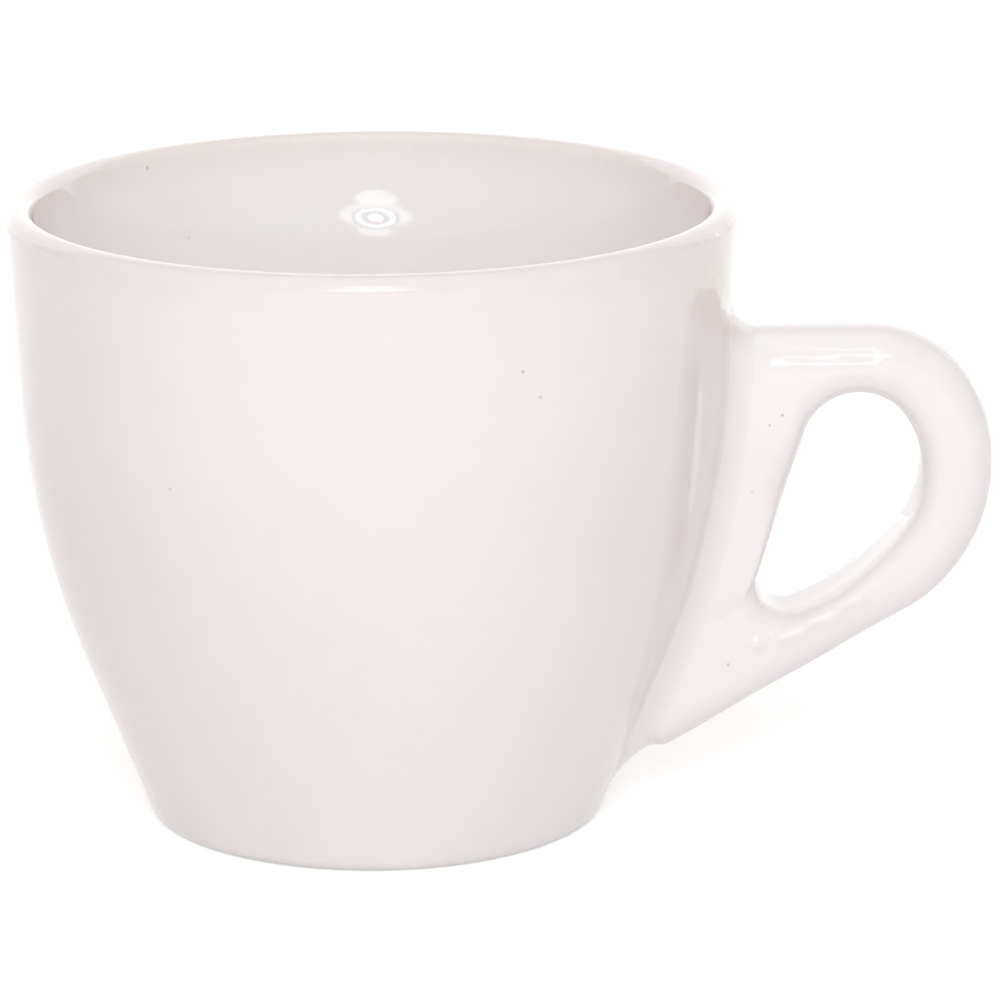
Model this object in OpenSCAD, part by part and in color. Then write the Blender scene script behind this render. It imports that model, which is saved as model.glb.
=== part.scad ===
// Espresso cup with a closed loop handle, in glazed porcelain.
// Millimetres, +Z up. The origin is on the cup's axis at the standing plane, and the handle points along +X.
// Outside sizes are those of the glazed surface; the clay lies one coat of glaze below it.

/* [Bowl] */
// outside diameter that the wall would have at the very top
rim_d = 64; // [58:1:72]
// height of the cup over the standing plane
cup_h = 55; // [51:1:62]
// taper of the upper wall from the vertical, in degrees
upper_taper = 3.5; // [1:0.5:6]
// taper of the lower wall from the vertical, in degrees
lower_taper = 21.5; // [16:0.5:24]
// height at which the lines of the upper and the lower wall cross
break_h = 26; // [23:1:30]
// radius of the round that joins the upper to the lower wall
belly_r = 80; // [40:1:100]
// thickness of the lip, which is fully round
lip_t = 2.5; // [2.2:0.1:3.4]
// taper of the inside wall from the vertical, in degrees
inner_taper = 9; // [6:0.5:10]
// radius of the round between the inside wall and the floor
inner_round = 18; // [13:0.5:20]
// thickness of the floor over the foot recess
floor_t = 4.2; // [3:0.1:6]

/* [Foot] */
// radius of the round at the outer edge of the foot
foot_round = 1.8; // [1.2:0.1:2.4]
// height over the standing plane at which the outside coat ends on that round
bare_h = 0.2; // [0.1:0.05:0.4]
// width of the flat ring that the cup stands on
ring_w = 3; // [2:0.1:4.5]
// depth of the recess inside the ring
recess_h = 1.6; // [1:0.1:2.4]
// radius of the round in the corner of the recess
recess_round = 1; // [0.6:0.1:1.4]

/* [Glaze] */
// thickness of every coat of glaze, and of the slip bed that lies flush with it
coat_t = 0.3; // [0.2:0.05:0.5]

/* [Handle] */
// height of the level top edge
handle_top = 43.7; // [41:0.1:45]
// distance from the cup's axis to the far side of the loop
reach = 54.3; // [51:0.1:58]
// thickness across the two flat faces
handle_t = 9; // [7.5:0.1:11]
// radius of the loop's upper outer arc
grip_top_r = 10; // [8:0.1:11.5]
// radius of the loop's lower outer arc
grip_low_r = 15.2; // [14:0.1:16]
// angle over the horizontal at which the two outer arcs meet, in degrees
grip_turn = 30; // [24:1:36]
// height of the toe, where the lower edge runs into the bowl
toe_h = 5.7; // [5:0.1:8]
// length of the level toe between the wall and the sloping lower edge
toe_run = 3.4; // [3.2:0.1:5]
// radius of the bend between the toe and the lower edge
toe_r = 4; // [2:0.1:4.5]
// rounding of the outer edges
outer_edge = 2.8; // [1.6:0.1:3]
// radius of the fillet between the handle and the bowl
root_fillet = 2.2; // [1.4:0.1:2.6]

/* [Finger hole] */
// width of the top limb
limb_top = 6; // [5.4:0.1:6.8]
// width of the limb at the far side
limb_side = 6.1; // [5.6:0.1:7]
// width of the lower limb at the hole's low corner
limb_low = 5; // [4.4:0.1:6.5]
// width of the spine between the bowl and the hole's low corner
spine_w = 5.8; // [5.4:0.1:7]
// radius of the hole's top arc
hole_top_r = 4.9; // [4:0.1:5.4]
// radius of the hole's far arc
hole_side_r = 8.5; // [7.8:0.1:9.2]
// angle over the horizontal at which the top and the far arc meet, in degrees
hole_turn = 42; // [36:1:48]
// radius of the hole's lower side
hole_low_r = 23; // [18:1:60]
// radius of the hole's low corner
hole_corner_r = 2.6; // [2:0.1:3]
// rounding of the hole's edges
inner_edge = 2.6; // [1.6:0.1:2.8]

/* [Hidden] */
$fn = 96;
clay = [0.86, 0.78, 0.68];
wet_clay = [0.80, 0.72, 0.62];
white = [0.94, 0.92, 0.91];

rim_r = rim_d / 2;
lip_r = lip_t / 2;

// corner of the upper and lower wall lines, and the round that joins them
break_r = rim_r - (cup_h - break_h) * tan(upper_taper);
belly_run = belly_r * tan((lower_taper - upper_taper) / 2);
belly_top = [break_r + belly_run * sin(upper_taper), break_h + belly_run * cos(upper_taper)];
belly_low = [break_r - belly_run * sin(lower_taper), break_h - belly_run * cos(lower_taper)];
belly_c = belly_top + belly_r * [-cos(upper_taper), sin(upper_taper)];

// centre of the lip's round and the start of the inside wall
lip_z = cup_h - lip_r;
lip_c = [rim_r - lip_r * tan(upper_taper) - lip_r / cos(upper_taper), lip_z];

// centre of the round inside the cup
floor_z = recess_h + floor_t;
inner_cz = floor_z + inner_round;
inner_cx = lip_c[0] - (lip_r + inner_round) / cos(inner_taper) - (lip_z - inner_cz) * tan(inner_taper);
inner_c = [inner_cx, inner_cz];

// outer radius of the standing ring, and the angle under the horizontal at which the outside coat ends
foot_line_r = belly_low[0] - coat_t / cos(lower_taper) - (belly_low[1] - foot_round) * tan(lower_taper);
ring_r = foot_line_r - foot_round / cos(lower_taper);
ring_in = ring_r - ring_w;
foot_c = [ring_r, foot_round];
coat_end = asin((foot_round - bare_h) / (foot_round + coat_t));

function unit(a) = [cos(a), sin(a)];
function arc(c, r, from, to, n) = [for (i = [0:n]) c + r * unit(from + (to - from) * i / n)];
function line(p, q, n) = [for (i = [0:n]) p + (q - p) * i / n];
function angle_of(v) = atan2(v[1], v[0]);

// outside of the bowl from its coat's lower end up to the crown of the lip, `under` below the glazed surface
function outside(under) = concat(
    arc(foot_c, foot_round + coat_t - under, -coat_end, -lower_taper, 5),
    arc(belly_c, belly_r - under, -lower_taper, -upper_taper, 20),
    arc(lip_c, lip_r - under, -upper_taper, 90, 10)
);

// inside of the bowl from the crown of the lip down to the axis
function inside(under) = concat(
    arc(lip_c, lip_r - under, 90, 180 - inner_taper, 10),
    arc(inner_c, inner_round + under, -inner_taper, -90, 20),
    [[0, floor_z - under]]
);

// recess under the bowl from the axis out to the top of its side
function recess(under) = concat(
    [[0, recess_h - under]],
    arc([ring_in - recess_round, recess_h - recess_round], recess_round - under, 90, 0, 8)
);

// radius of the glazed wall at a height, and its slope there
function wall_r(z) =
    z > belly_top[1] ? rim_r - (cup_h - z) * tan(upper_taper)
    : z < belly_low[1] ? break_r - (break_h - z) * tan(lower_taper)
    : belly_c[0] + sqrt(pow(belly_r, 2) - pow(z - belly_c[1], 2));
function wall_slope(z) =
    z > belly_top[1] ? upper_taper
    : z < belly_low[1] ? lower_taper
    : asin((belly_c[1] - z) / belly_r);

// Loop outline in the plane of the handle, as [x, z].
// The outer side is a level top, two arcs, a straight lower edge and a level toe.
low_c = [reach - grip_low_r, handle_top - grip_top_r - (grip_low_r - grip_top_r) * sin(grip_turn)];
top_c = low_c + (grip_low_r - grip_top_r) * unit(grip_turn);
toe_p = [wall_r(toe_h) + toe_run, toe_h];
toe_v = toe_p - low_c;
low_a = angle_of(toe_v) + acos(grip_low_r / norm(toe_v));
low_n = unit(low_a);
low_start = low_c + grip_low_r * low_n;
toe_half = toe_r * tan((low_a + 90) / 2);
toe_start = toe_p - toe_half * unit(low_a - 90);
toe_c = toe_start - toe_r * low_n;

// The hole is a tangent chain: top arc, far arc, lower side, low corner and a straight left side.
// Its top arc faces the top fillet over the angle fan_a.
fan_a = 20;
far_c = [reach - limb_side - hole_side_r,
    handle_top - limb_top - hole_top_r - (hole_side_r - hole_top_r) * sin(hole_turn)];
peak_c = far_c + (hole_side_r - hole_top_r) * unit(hole_turn);
corner_d = limb_low + hole_corner_r;
corner_z = corner_height(wall_r(toe_h + grip_low_r) + spine_w + hole_corner_r);
corner_c = [wall_r(corner_z) + spine_w + hole_corner_r,
    corner_height(wall_r(corner_z) + spine_w + hole_corner_r)];
left_v = peak_c - corner_c;
left_a = angle_of(left_v) + acos((hole_corner_r - hole_top_r) / norm(left_v));
under_v = corner_c - far_c;
under_far = hole_low_r - hole_side_r;
under_near = hole_low_r - hole_corner_r;
under_side = pow(under_far, 2) + under_v * under_v - pow(under_near, 2);
under_turn = acos(under_side / (2 * under_far * norm(under_v)));
under_c = far_c + under_far * unit(angle_of(under_v) - under_turn);
under_from = angle_of(far_c - under_c);
under_to = angle_of(corner_c - under_c);
peak_split = left_a - fan_a;

// height of the point above the lower edge at x, one lower limb and corner radius away from it
function corner_height(x) =
    low_start[1] - (corner_d + (x - low_start[0]) * low_n[0]) / low_n[1];

// how far the root fillet stands out at a distance from the wall
function flare(d, under) =
    let (r = root_fillet + under)
    r - sqrt(pow(r, 2) - pow(max(root_fillet - max(d, 0), 0), 2));
function fillet_line(level, side, under, n) = [for (i = [0:n])
    let (d = root_fillet * (1 - cos(90 * i / n)))
    let (z = level + side * flare(d, under))
    [wall_r(z) + d / cos(wall_slope(z)), z]];

// stations around the loop: [point on the hole, point on the outer side, kind of outer side]
TOP = 0;
ARC_TOP = 1;
ARC_LOW = 2;
LOW = 3;
ROOT = 4;
n_fillet = 6;
n_top = 5;
n_arc = 6;
n_far = 11;
n_low = 5;
n_toe = 3;
n_root = 16;
function but_last(list) = [for (i = [0:len(list) - 2]) list[i]];
function reversed(list) = [for (i = [len(list) - 1:-1:0]) list[i]];
function pairs(hole, outer, kind) = [for (i = [0:len(hole) - 2]) [hole[i], outer[i], kind]];

function stations(under) =
    let (peak_r = hole_top_r + under)
    let (far_r = hole_side_r + under)
    let (corner_r = hole_corner_r + under)
    let (top = handle_top - under)
    let (toe = toe_h + under)
    let (fillet_top = fillet_line(top, 1, under, n_fillet))
    let (fillet_toe = reversed(fillet_line(toe, -1, under, n_fillet)))
    let (toe_bend = arc(toe_c, toe_r - under, low_a, -90, n_toe))
    let (spine_low = fillet_toe[n_fillet][1])
    let (spine_high = fillet_top[0][1])
    concat(
        pairs(arc(peak_c, peak_r, left_a, peak_split, n_fillet), fillet_top, TOP),
        pairs(arc(peak_c, peak_r, peak_split, 90, n_top),
            line(fillet_top[n_fillet], [top_c[0], top], n_top), TOP),
        pairs(arc(peak_c, peak_r, 90, hole_turn, n_arc),
            arc(top_c, grip_top_r - under, 90, grip_turn, n_arc), ARC_TOP),
        pairs(arc(far_c, far_r, hole_turn, under_from, n_far),
            arc(low_c, grip_low_r - under, grip_turn, low_a, n_far), ARC_LOW),
        pairs(arc(under_c, hole_low_r + under, under_from, under_to, n_low),
            line(low_start - under * low_n, toe_bend[0], n_low), LOW),
        pairs(arc(corner_c, corner_r, under_to, left_a - 360, n_toe + n_fillet),
            concat(but_last(toe_bend), fillet_toe), LOW),
        pairs(line(corner_c + corner_r * unit(left_a), peak_c + peak_r * unit(left_a), n_root),
            [for (i = [0:n_root])
                let (z = spine_low + (spine_high - spine_low) * (1 - cos(180 * i / n_root)) / 2)
                [wall_r(z), z]], ROOT)
    );

// distance from a point of the plane to the outer side
function edge_gap(p, kind, d, under) =
    let (stand = flare(d, under))
    let (to_top = handle_top - under + stand - p[1])
    let (to_low = min(grip_low_r - under - (p - low_c) * low_n, p[1] - toe_h - under + stand))
    kind == TOP ? to_top
    : kind == ARC_TOP ? grip_top_r - under - norm(p - top_c)
    : kind == ARC_LOW ? grip_low_r - under - norm(p - low_c)
    : kind == LOW ? to_low
    : min(to_top, to_low);
// how much a rounded edge takes off the half thickness at a distance from the edge
function drop(gap, r) = r - sqrt(pow(r, 2) - pow(max(r - max(gap, 0), 0), 2));

// one section from the hole to the outer side, on the +Y half; the two roundings take at most `shared` of it
n_edge = 5;
shared = 0.96;
bend_depth = 6;
function section(s, under) =
    let (width = norm(s[1] - s[0]))
    let (dir = (s[1] - s[0]) / width)
    let (in_r = inner_edge - under)
    let (out_r = s[2] == ROOT ? root_fillet : outer_edge - under)
    let (fit = min(1, shared * width / (in_r + out_r)))
    let (near = [for (i = [0:n_edge]) fit * in_r * (1 - cos(90 * i / n_edge))])
    let (far = [for (i = [n_edge:-1:0]) width - fit * out_r * (1 - cos(90 * i / n_edge))])
    [for (t = concat(near, [(near[n_edge] + far[0]) / 2], far))
        let (p = s[0] + t * dir)
        let (wall = wall_r(p[1]))
        let (d = max((p[0] - wall) * cos(wall_slope(p[1])), 0))
        let (open = s[2] == ROOT ? edge_gap(p, ROOT, d, under)
            : min(edge_gap(p, s[2], d, under), width - t))
        let (y = handle_t / 2 - under - drop(t, in_r) - drop(open, outer_edge - under) + flare(d, under))
        bent(p, y, wall, d)];
// sideways points lean back with the round of the bowl near the root
function bent(p, y, wall, d) =
    let (fade = pow(max(1 - d / bend_depth, 0), 2))
    [p[0] - fade * (wall - sqrt(pow(wall, 2) - pow(y, 2))), y, p[1]];
// the outer side of one section, from +Y across to -Y
n_across = 6;
function across(s, edge) = [for (i = [1:n_across - 1])
    let (y = edge[1] * (1 - 2 * i / n_across))
    let (wall = wall_r(s[1][1]))
    bent(s[1], y, wall, max((s[1][0] - wall) * cos(wall_slope(s[1][1])), 0))];
function mirrored(points) = [for (p = points) [p[0], -p[1], p[2]]];
function ring(s, under) =
    let (half = section(s, under))
    concat(half, across(s, half[len(half) - 1]), reversed(mirrored(half)));

n_half = 2 * n_edge + 3;
n_ring = 2 * n_half + n_across - 1;

// two triangles for each cell of the loop's surface; the root face is drawn only if the surface is `whole`
function cells(n, shift, flip, whole) = [for (i = [0:n - 1]) for (j = [0:n_ring - 1])
    if (whole || i < n - n_root || j < n_half - 1 || j >= n_half - 1 + n_across)
    let (a = shift + i * n_ring + j)
    let (b = shift + i * n_ring + (j + 1) % n_ring)
    let (c = shift + (i + 1) % n * n_ring + (j + 1) % n_ring)
    let (e = shift + (i + 1) % n * n_ring + j)
    each flip ? [[a, c, b], [a, e, c]] : [[a, b, c], [a, c, e]]];
// the closed line around the root face
function root_loop(n) = concat(
    [for (i = [n - n_root:n - 1]) i * n_ring + n_half - 1],
    [for (j = [0:n_across - 1]) n_half - 1 + j],
    [for (i = [n:-1:n - n_root + 1]) i % n * n_ring + n_half - 1 + n_across],
    [for (j = [n_across:-1:1]) (n - n_root) * n_ring + n_half - 1 + j]
);

// outline of the handle's root on the bowl, as [y, z]
root_half = handle_t / 2 - coat_t + flare(0, coat_t);
root_top = handle_top - coat_t + flare(0, coat_t);
root_low = toe_h + coat_t - flare(0, coat_t);
root_corner = outer_edge - coat_t;

module root_prism() {
    rotate([90, 0, 90])
        linear_extrude(height = reach) {
            translate([-root_half, root_low + root_corner])
                square([2 * root_half, root_top - root_low - 2 * root_corner]);
            translate([root_corner - root_half, root_low])
                square([2 * (root_half - root_corner), root_top - root_low]);
            for (side = [-1, 1]) {
                for (z = [root_low + root_corner, root_top - root_corner]) {
                    translate([side * (root_half - root_corner), z])
                        circle(r = root_corner);
                }
            }
        }
}

// the coat on the outside of the bowl before the handle's root is let in
module outer_band() {
    rotate_extrude()
        polygon(concat(outside(0), reversed(outside(coat_t))));
}

// clay body: wall, floor and foot ring
module bowl() {
    color(clay)
        rotate_extrude()
            polygon(concat(
                recess(0),
                [[ring_in, 0]],
                but_last(arc(foot_c, foot_round, -90, -coat_end, 5)),
                outside(coat_t),
                inside(coat_t)
            ));
}

// clay loop that stands on the slip bed
module handle() {
    loop = stations(coat_t);
    color(clay)
        polyhedron(
            points = [for (s = loop) each ring(s, coat_t)],
            faces = cells(len(loop), 0, false, true)
        );
}

// bed of slip that bonds the handle to the bowl
module luting_slip() {
    color(wet_clay)
        intersection() {
            outer_band();
            root_prism();
        }
}

// coat inside the cup, from the lip to the floor
module inner_glaze() {
    color(white)
        rotate_extrude()
            polygon(concat(inside(0), reversed(inside(coat_t))));
}

// coat outside the bowl, open where the handle is bonded
module outer_glaze() {
    color(white)
        difference() {
            outer_band();
            root_prism();
        }
}

// coat around the handle, feathered out on the bowl by the root fillet
module handle_glaze() {
    skin = stations(0);
    core = stations(coat_t);
    n = len(skin);
    far = n * n_ring;
    loop = root_loop(n);
    size = len(loop);
    color(white)
        polyhedron(
            points = concat([for (s = skin) each ring(s, 0)], [for (s = core) each ring(s, coat_t)]),
            faces = concat(
                cells(n, 0, false, false),
                cells(n, far, true, false),
                [for (k = [0:size - 1])
                    let (a = loop[k])
                    let (b = loop[(k + 1) % size])
                    each [[a, far + b, b], [a, far + a, far + b]]]
            )
        );
}

// disc of glaze in the recess under the cup
module base_glaze() {
    color(white)
        rotate_extrude()
            polygon(concat(recess(0), reversed(recess(coat_t))));
}

bowl();
handle();
luting_slip();
inner_glaze();
outer_glaze();
handle_glaze();
base_glaze();
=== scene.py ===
"""Looks of a white glazed espresso cup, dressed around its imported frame.

Sizes are millimetres and degrees in the cup's own frame: +Z up, the origin on the bowl's axis in the standing
plane, the handle along +X. Each surface is a grid of points worked out as whole arrays, and becomes a mesh in
metres.
"""

import logging
import math
from abc import ABC, abstractmethod
from collections.abc import Callable
from dataclasses import dataclass
from enum import Enum
from functools import cached_property
from typing import Any

import bpy
import numpy as np
from mathutils import Matrix, Vector


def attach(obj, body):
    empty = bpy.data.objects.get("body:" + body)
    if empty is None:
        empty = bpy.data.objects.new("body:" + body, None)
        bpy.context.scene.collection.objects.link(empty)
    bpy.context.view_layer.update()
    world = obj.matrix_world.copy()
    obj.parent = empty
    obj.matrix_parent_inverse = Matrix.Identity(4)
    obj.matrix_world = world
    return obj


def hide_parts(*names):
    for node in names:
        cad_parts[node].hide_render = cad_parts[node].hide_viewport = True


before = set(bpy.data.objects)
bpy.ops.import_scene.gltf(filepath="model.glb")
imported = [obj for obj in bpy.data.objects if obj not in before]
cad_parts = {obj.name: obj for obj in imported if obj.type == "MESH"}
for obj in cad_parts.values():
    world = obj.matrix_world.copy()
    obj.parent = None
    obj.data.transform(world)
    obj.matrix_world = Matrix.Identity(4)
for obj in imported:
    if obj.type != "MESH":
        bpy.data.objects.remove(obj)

Array = np.ndarray
Colour = tuple[float, float, float, float]
Place = tuple[float, float, float]
Tint = tuple[float, float, float]
Span = tuple[float, float]
Material = bpy.types.Material
Node = bpy.types.Node
Socket = bpy.types.NodeSocket
LOG = logging.getLogger("espresso_cup")
MM = 0.001
BODY = "root"
WHITE = (1.0, 1.0, 1.0, 1.0)


class Slot(Enum):
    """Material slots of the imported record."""

    CLAY = "clay"
    GLAZE = "glaze"


class Ease(Enum):
    """Where the points of a stretch crowd together."""

    EVEN = "even"
    START = "start"
    BOTH = "both"


def steps(count: int, ease: Ease = Ease.EVEN) -> Array:
    """Numbers from 0 to 1 that crowd where the ease says.

    Args:
        count: number of intervals.
        ease: the end or ends at which the steps are small.

    Returns:
        An array of count + 1 numbers.
    """
    even = np.linspace(0.0, 1.0, count + 1)
    spread = {
        Ease.EVEN: even,
        Ease.START: even**2,
        Ease.BOTH: (1.0 - np.cos(np.pi * even)) / 2.0,
    }
    return spread[ease]


def unit(angle: float | Array) -> Array:
    """Unit vectors of the plane at an angle or angles in degrees."""
    turn = np.radians(angle)
    return np.stack([np.cos(turn), np.sin(turn)], axis=-1)


def angle_of(vector: Array) -> float:
    """Angle of a plane vector in degrees."""
    return math.degrees(math.atan2(vector[1], vector[0]))


@dataclass(frozen=True)
class Arc:
    """A stretch of a circle: centre plus radius times the unit vector of an angle from start to stop."""

    centre: Array
    radius: float
    start: float
    stop: float

    def points(self, count: int, ease: Ease = Ease.EVEN) -> Array:
        """Points along the arc, count + 1 of them."""
        return self.centre + self.radius * unit(self.start + (self.stop - self.start) * steps(count, ease))


@dataclass(frozen=True)
class Line:
    """A straight stretch, as start plus a share of the way to stop."""

    start: Array
    stop: Array

    def points(self, count: int, ease: Ease = Ease.EVEN) -> Array:
        """Points along the line, count + 1 of them."""
        return self.start + (self.stop - self.start) * steps(count, ease)[:, None]


@dataclass(frozen=True)
class Waviness:
    """Slow unevenness of a poured coat: plane waves in drawn directions, over the root of their number."""

    height: float
    length: float
    seed: int
    waves: int = 14
    spread: Span = (0.7, 1.6)

    def at(self, places: Array) -> Array:
        """Height of the unevenness at places.

        Args:
            places: points in millimetres, on the last axis.

        Returns:
            Heights in millimetres, one for each point.
        """
        draw = np.random.default_rng(self.seed)
        heading = draw.normal(size=(self.waves, 3))
        heading /= np.linalg.norm(heading, axis=1, keepdims=True)
        pitch = self.length * draw.uniform(*self.spread, self.waves)
        phase = draw.uniform(0.0, 2.0 * np.pi, self.waves)
        waves = np.sin(places @ (heading * 2.0 * np.pi / pitch[:, None]).T + phase)
        return self.height * waves.sum(axis=-1) / math.sqrt(self.waves)


@dataclass(frozen=True)
class Mark:
    """A small rise or dent of the coat along a broken line of places."""

    path: tuple[Place, ...]
    height: float
    breadth: float

    def at(self, places: Array) -> Array:
        """Height at places: a bell of the distance to the nearest stretch of the path.

        Args:
            places: points in millimetres, on the last axis.

        Returns:
            Heights in millimetres, negative in a dent.
        """
        ends = np.array(self.path)
        gap = np.linalg.norm(places - ends[0], axis=-1)
        for start, stop in zip(ends[:-1], ends[1:]):
            along = stop - start
            share = np.clip((places - start) @ along / (along @ along), 0.0, 1.0)
            gap = np.minimum(gap, np.linalg.norm(places - start - share[..., None] * along, axis=-1))
        return self.height * np.exp(-((gap / self.breadth) ** 2) / 2.0)


@dataclass(frozen=True)
class Pool:
    """Glaze that gathers on the wall around the handle's root, whose outline is a rounded rectangle."""

    half_w: float = 6.0
    low: float = 4.2
    top: float = 45.2
    corner: float = 2.8
    depth: float = 0.4
    run: float = 1.9
    power: float = 3.0

    def at(self, places: Array) -> Array:
        """Depth at places on the wall: a power of the way that is left to the pool's edge.

        Args:
            places: points in millimetres, on the last axis.

        Returns:
            Depths in millimetres, zero away from the root.
        """
        middle = np.array([0.0, (self.low + self.top) / 2.0])
        straight = np.array([self.half_w, (self.top - self.low) / 2.0]) - self.corner
        over = np.abs(places[..., 1:] - middle) - straight
        outer = np.linalg.norm(np.maximum(over, 0.0), axis=-1)
        gap = outer + np.minimum(over.max(axis=-1), 0.0) - self.corner
        left = np.clip(1.0 - gap / self.run, 0.0, 1.0)
        return np.where(places[..., 0] > 0.0, self.depth * left**self.power, 0.0)


@dataclass
class Surface:
    """A grid of points in rows and columns. Columns always close; rows close where the surface is a ring."""

    points: Array
    rows_close: bool

    SHARP = 60.0
    POLE = 1e-9
    TINY = 1e-12

    def normals(self) -> Array:
        """Unit normals as the cross product of the differences along rows and columns.

        Returns:
            The normals, in the shape of the points.
        """
        down = np.roll(self.points, -1, axis=0) - np.roll(self.points, 1, axis=0)
        if not self.rows_close:
            down[0] = self.points[1] - self.points[0]
            down[-1] = self.points[-1] - self.points[-2]
        side = np.roll(self.points, -1, axis=1) - np.roll(self.points, 1, axis=1)
        out = np.cross(side, down)
        return out / np.maximum(np.linalg.norm(out, axis=-1, keepdims=True), self.TINY)

    def cells(self) -> Array:
        """Numbers of the four corners of each cell, where a row whose points coincide is one pole.

        Returns:
            Four numbers of points to a cell.
        """
        rows, columns, _ = self.points.shape
        index = np.arange(rows * columns).reshape(rows, columns)
        pole = np.ptp(self.points, axis=1).max(axis=1) < self.POLE
        index[pole] = index[pole][:, :1]
        below = np.roll(index, -1, axis=0)
        cells = np.stack([index, np.roll(index, -1, axis=1), np.roll(below, -1, axis=1), below], axis=-1)
        return (cells if self.rows_close else cells[:-1]).reshape(-1, 4)

    def looks_out(self) -> bool:
        """Whether cells and normals look outwards: the sign of the enclosed volume tells.

        Returns:
            True where the enclosed volume comes out positive.
        """
        cells = self.cells()
        a, b, c, d = (self.points.reshape(-1, 3)[cells[:, k]] for k in range(4))
        return bool((np.cross(a, b) * c + np.cross(a, c) * d).sum() > 0.0)

    def raised(self, height: Array) -> "Surface":
        """Moves every point along its outward normal.

        Args:
            height: how far each point moves, negative into the material.

        Returns:
            The new surface.
        """
        way = 1.0 if self.looks_out() else -1.0
        return Surface(self.points + way * height[..., None] * self.normals(), self.rows_close)

    def mesh(self, name: str) -> bpy.types.Mesh:
        """Joins neighbouring grid points by faces that all look outwards: quads, and triangles around a pole.

        Args:
            name: name of the mesh.

        Returns:
            A smooth mesh in metres, with a sharp edge wherever the surface folds back.
        """
        cells = self.cells() if self.looks_out() else self.cells()[:, ::-1]
        flat = self.points.reshape(-1, 3)
        used, cells = np.unique(cells, return_inverse=True)
        cells = cells.reshape(-1, 4)
        twin = cells == np.roll(cells, -1, axis=1)
        quads = cells[~twin.any(axis=1)]
        fan = cells[twin.any(axis=1)]
        triangles = fan[~twin[twin.any(axis=1)]].reshape(-1, 3)
        made = bpy.data.meshes.new(name)
        made.from_pydata((flat[used] * MM).tolist(), [], quads.tolist() + triangles.tolist())
        made.shade_smooth()
        made.set_sharp_from_angle(angle=math.radians(self.SHARP))
        made.validate()
        return made


def revolve(profile: Array, turns: Array) -> Surface:
    """Carries a profile of radius and height once round the Z axis.

    Args:
        profile: points as radius and height, from pole to pole or as a closed ring.
        turns: angles of the columns in degrees.

    Returns:
        The surface radius times (cos, sin) of the turn at each height.
    """
    ring = profile[:, None, :1] * unit(turns)[None]
    height = np.broadcast_to(profile[:, None, 1:], (len(profile), len(turns), 1))
    return Surface(np.concatenate([ring, height], axis=-1), rows_close=bool(profile[0, 0] > 0.0))


@dataclass(frozen=True)
class Spot:
    """A round spot of colour on the coat: its centre, its radius and how strongly it shows."""

    centre: Place
    radius: float
    strength: float

    CORE = 0.25


class Graph:
    """A node tree with short calls that add nodes and join them."""

    def __init__(self, tree: bpy.types.NodeTree) -> None:
        """Keeps the tree that the nodes go into."""
        self.tree = tree

    def add(self, kind: str, inputs: dict[str | int, Any] | None = None, **settings: Any) -> Node:
        """Adds one node.

        Args:
            kind: Blender's type name of the node.
            inputs: value of each named or numbered input; a socket is linked and anything else is set.
            settings: the node's own properties.

        Returns:
            The new node.
        """
        node = self.tree.nodes.new(kind)
        for name, value in settings.items():
            setattr(node, name, value)
        for name, value in (inputs or {}).items():
            if isinstance(value, Socket):
                self.tree.links.new(value, node.inputs[name])
            else:
                node.inputs[name].default_value = value
        return node

    def math(self, operation: str, *values: Any, clamp: bool = False) -> Socket:
        """Result of one sum or comparison of sockets and numbers."""
        inputs = dict(enumerate(values))
        return self.add("ShaderNodeMath", inputs, operation=operation, use_clamp=clamp).outputs[0]

    def vector(self, operation: str, *values: Any, output: str = "Vector") -> Socket:
        """Result of one sum of vectors or, as the output Value, a measure of them."""
        inputs = dict(enumerate(values))
        return self.add("ShaderNodeVectorMath", inputs, operation=operation).outputs[output]

    def ramp(self, value: Any, low: Any, high: Any, bottom: Any, top: Any) -> Socket:
        """Carries a value from the span low to high smoothly over to the span bottom to top."""
        inputs = {"Value": value, "From Min": low, "From Max": high, "To Min": bottom, "To Max": top}
        return self.add("ShaderNodeMapRange", inputs, interpolation_type="SMOOTHSTEP").outputs["Result"]

    def blend(self, share: Any, first: Any, second: Any) -> Socket:
        """Colour between two colours."""
        return self.add("ShaderNodeMix", {0: share, 6: first, 7: second}, data_type="RGBA").outputs[2]

    def noise(self, place: Any, scale: Any, detail: float, roughness: float = 0.5) -> Socket:
        """Fractal noise from 0 to 1 at a place."""
        inputs = {"Vector": place, "Scale": scale, "Detail": detail, "Roughness": roughness}
        return self.add("ShaderNodeTexNoise", inputs).outputs["Fac"]

    def group(self, tree: bpy.types.NodeTree, inputs: dict[str | int, Any]) -> Socket:
        """Output of a shared group placed with its own values."""
        return self.add("ShaderNodeGroup", inputs, node_tree=tree).outputs[0]

    def spots(self, place: Any, spots: tuple[Spot, ...], mask: Any) -> Socket:
        """Adds round spots to a mask.

        Args:
            place: the coordinates, in metres.
            spots: the spots, in millimetres.
            mask: the mask to add them to.

        Returns:
            The larger of the mask and the strength of each spot, which falls off towards its edge.
        """
        for spot in spots:
            centre = tuple(Vector(spot.centre) * MM)
            gap = self.vector("DISTANCE", place, centre, output="Value")
            shown = self.ramp(gap, spot.CORE * spot.radius * MM, spot.radius * MM, spot.strength, 0.0)
            mask = self.math("MAXIMUM", mask, shown)
        return mask


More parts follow.
